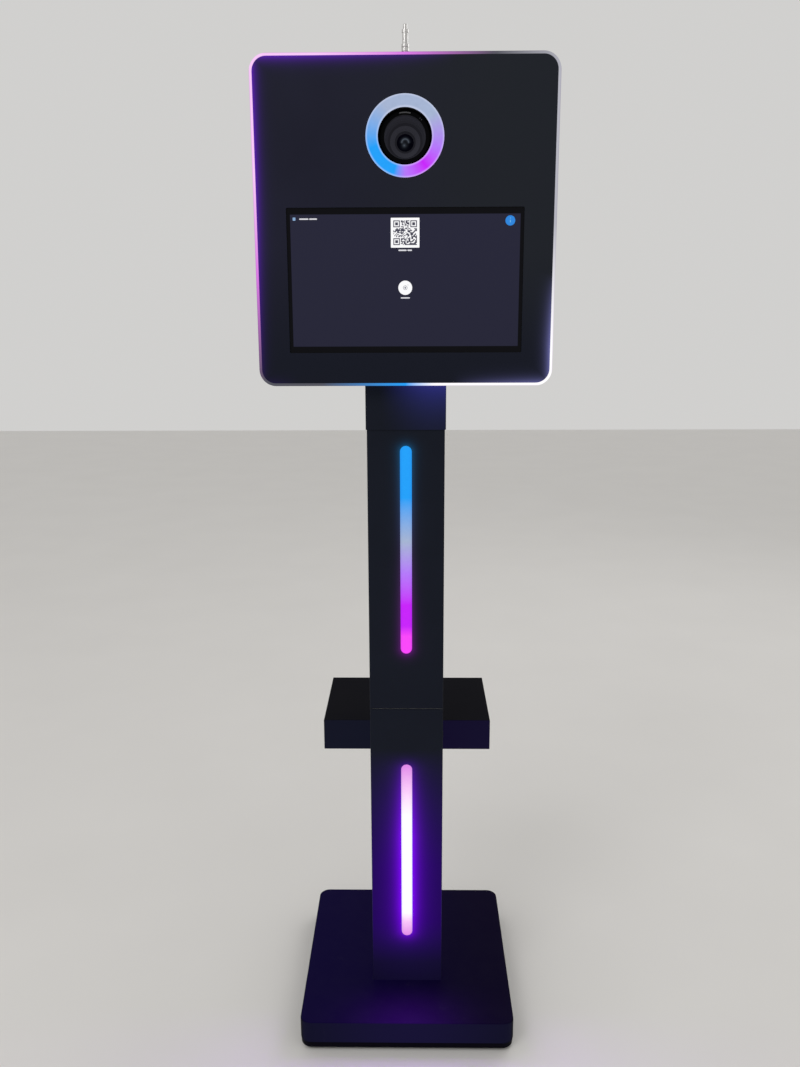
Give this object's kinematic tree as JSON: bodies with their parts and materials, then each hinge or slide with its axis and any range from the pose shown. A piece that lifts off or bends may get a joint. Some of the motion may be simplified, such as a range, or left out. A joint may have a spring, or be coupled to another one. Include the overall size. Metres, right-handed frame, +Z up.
{
  "type": "photo booth",
  "caption": "Free-standing selfie photo booth: square lit head with touch display and ringed camera on a slim column with light slots, rear printer shelf and flat heavy base.",
  "frame": {"origin": "centre of the base footprint, on the floor", "axes": "+Z up, -Y towards the guest in front of the display, +X to the viewer's right seen from the front"},
  "size_m": [0.4522, 0.393, 1.6694],
  "materials": {
    "powder_black": "fine-texture matte black powder coat",
    "powder_panel": "fine-texture matte charcoal powder coat",
    "powder_shelf": "fine-texture matte black powder coat",
    "plate_black": "black painted thick plate",
    "zinc_steel": "zinc plated",
    "black_steel": "black oxide",
    "rubber_black": "moulded",
    "knob_plastic": "fine grain",
    "aluminium_channel": "anodised",
    "led_board": "white solder mask",
    "diffuser_upper": "opal acrylic lit blue to pink",
    "diffuser_lower": "opal acrylic lit pink to white",
    "diffuser_ring": "opal acrylic lit in turning colours",
    "edge_acrylic": "clear acrylic with a lit edge",
    "cover_glass": "black-bordered touch glass",
    "screen": "lit display",
    "case_plastic": "moulded",
    "pan_black": "matte",
    "camera_plastic": "fine grain",
    "button_silver": "turned",
    "lens_black": "satin",
    "lens_rubber": "ribbed",
    "lens_glass": "coated",
    "chrome_bright": "polished",
    "supply_steel": "bare sheet",
    "controller_plastic": "moulded",
    "fan_plastic": "moulded",
    "inlet_plastic": "moulded",
    "rocker_red": "moulded"
  },
  "bodies": {
    "stand": {"base_plate": "plate_black", "base_cover": "powder_black", "base_feet": "rubber_black", "base_fasteners": "zinc_steel", "lower_column_shell": "powder_black", "lower_column_cover": "powder_black", "lower_cover_screws": "black_steel", "lower_light_diffuser": "diffuser_lower", "lower_light_channel": "aluminium_channel", "lower_led_strip": "led_board", "column_joiner": "zinc_steel", "joiner_screws": "black_steel", "shelf_bracket": "powder_black"},
    "upper_column": {"upper_column_shell": "powder_black", "upper_column_cover": "powder_black", "upper_cover_screws": "black_steel", "upper_light_diffuser": "diffuser_upper", "upper_light_channel": "aluminium_channel", "upper_led_strip": "led_board"},
    "shelf": {"printer_shelf": "powder_shelf"},
    "head": {"head_sleeve": "powder_black", "sleeve_bolts": "zinc_steel", "front_panel": "powder_panel", "panel_nuts": "zinc_steel", "edge_light_band": "edge_acrylic", "edge_led_strip": "led_board", "head_housing": "powder_black", "hinge_frame_halves": "black_steel", "monitor_glass": "cover_glass", "display_panel": "screen", "monitor_case": "case_plastic", "ring_light_diffuser": "diffuser_ring", "ring_light_pan": "pan_black", "ring_light_board": "led_board", "camera_shelf": "powder_black", "mini_pc": "case_plastic", "power_supply": "supply_steel", "led_controller": "controller_plastic", "mains_panel": "inlet_plastic", "accessory_spigot": "chrome_bright"},
    "door": {"rear_door": "powder_black", "hinge_door_halves": "black_steel", "fan_frame": "fan_plastic"},
    "lock": {"cam_lock": "chrome_bright"},
    "fan": {"fan_rotor": "fan_plastic"},
    "camera": {"camera_tray": "zinc_steel", "camera_body": "camera_plastic", "lens_barrel": "lens_black", "front_element": "lens_glass"},
    "tripod_thumbscrew": {"tripod_screw": "zinc_steel"},
    "shutter": {"shutter_button": "button_silver"},
    "zoom": {"zoom_ring": "lens_rubber"},
    "focus": {"focus_ring": "lens_rubber"},
    "rocker": {"power_rocker": "rocker_red"},
    "column_knob_left_body": {"column_knob_left": "knob_plastic"},
    "column_knob_right_body": {"column_knob_right": "knob_plastic"},
    "shelf_knob_left_body": {"shelf_knob_left": "knob_plastic"},
    "shelf_knob_right_body": {"shelf_knob_right": "knob_plastic"},
    "sleeve_knob_left_body": {"sleeve_knob_left": "knob_plastic"},
    "sleeve_knob_right_body": {"sleeve_knob_right": "knob_plastic"}
  },
  "joints": [
    {"name": "upper_column_lift_off", "type": "slide", "parent": "stand", "child": "upper_column", "axis": [0, 0, 1], "range_m": [0, 0.09]},
    {"name": "head_lift_off", "type": "slide", "parent": "upper_column", "child": "head", "axis": [0, 0, 1], "range_m": [0, 0.08]},
    {"name": "shelf_lift_off", "type": "slide", "parent": "stand", "child": "shelf", "axis": [0, 0, 1], "range_m": [0, 0.05]},
    {"name": "rear_door_hinge", "type": "hinge", "parent": "head", "child": "door", "pos_m": [-0.2214, 0.0565, 1.37375], "axis": [0, 0, 1], "range_deg": [0, 110]},
    {"name": "cam_lock_turn", "type": "hinge", "parent": "door", "child": "lock", "pos_m": [0.19, 0.0555, 1.37375], "axis": [0, -1, 0], "range_deg": [0, 90]},
    {"name": "fan_spin", "type": "hinge", "parent": "door", "child": "fan", "pos_m": [0, 0.0435, 1.33], "axis": [0, 1, 0], "continuous": true},
    {"name": "camera_tray_slide", "type": "slide", "parent": "head", "child": "camera", "axis": [0, 1, 0], "range_m": [-0.008, 0.008]},
    {"name": "tripod_screw_turn", "type": "hinge", "parent": "camera", "child": "tripod_thumbscrew", "pos_m": [0, 0, 1.4509], "axis": [0, 0, 1], "continuous": true},
    {"name": "shutter_press", "type": "slide", "parent": "camera", "child": "shutter", "axis": [0, 0, -1], "range_m": [0, 0.0015], "stiffness_N_per_m": 400},
    {"name": "zoom_ring_turn", "type": "hinge", "parent": "camera", "child": "zoom", "pos_m": [0, -0.048, 1.4982], "axis": [0, 1, 0], "range_deg": [0, 75]},
    {"name": "focus_ring_turn", "type": "hinge", "parent": "camera", "child": "focus", "pos_m": [0, -0.078, 1.4982], "axis": [0, 1, 0], "range_deg": [-60, 60]},
    {"name": "power_rocker_tip", "type": "hinge", "parent": "head", "child": "rocker", "pos_m": [-0.008, 0.026, 1.1456], "axis": [0, 1, 0], "range_deg": [-9, 9]},
    {"name": "column_knob_left_turn", "type": "hinge", "parent": "upper_column", "child": "column_knob_left_body", "pos_m": [-0.03, -0.026, 0.63], "axis": [0, 1, 0], "continuous": true},
    {"name": "column_knob_right_turn", "type": "hinge", "parent": "upper_column", "child": "column_knob_right_body", "pos_m": [0.03, -0.026, 0.63], "axis": [0, 1, 0], "continuous": true},
    {"name": "shelf_knob_left_turn", "type": "hinge", "parent": "stand", "child": "shelf_knob_left_body", "pos_m": [-0.03, -0.026, 0.511], "axis": [0, 1, 0], "continuous": true},
    {"name": "shelf_knob_right_turn", "type": "hinge", "parent": "stand", "child": "shelf_knob_right_body", "pos_m": [0.03, -0.026, 0.511], "axis": [0, 1, 0], "continuous": true},
    {"name": "sleeve_knob_left_turn", "type": "hinge", "parent": "head", "child": "sleeve_knob_left_body", "pos_m": [-0.03, -0.02435, 1.088], "axis": [0, 1, 0], "continuous": true},
    {"name": "sleeve_knob_right_turn", "type": "hinge", "parent": "head", "child": "sleeve_knob_right_body", "pos_m": [0.03, -0.02435, 1.088], "axis": [0, 1, 0], "continuous": true}
  ]
}
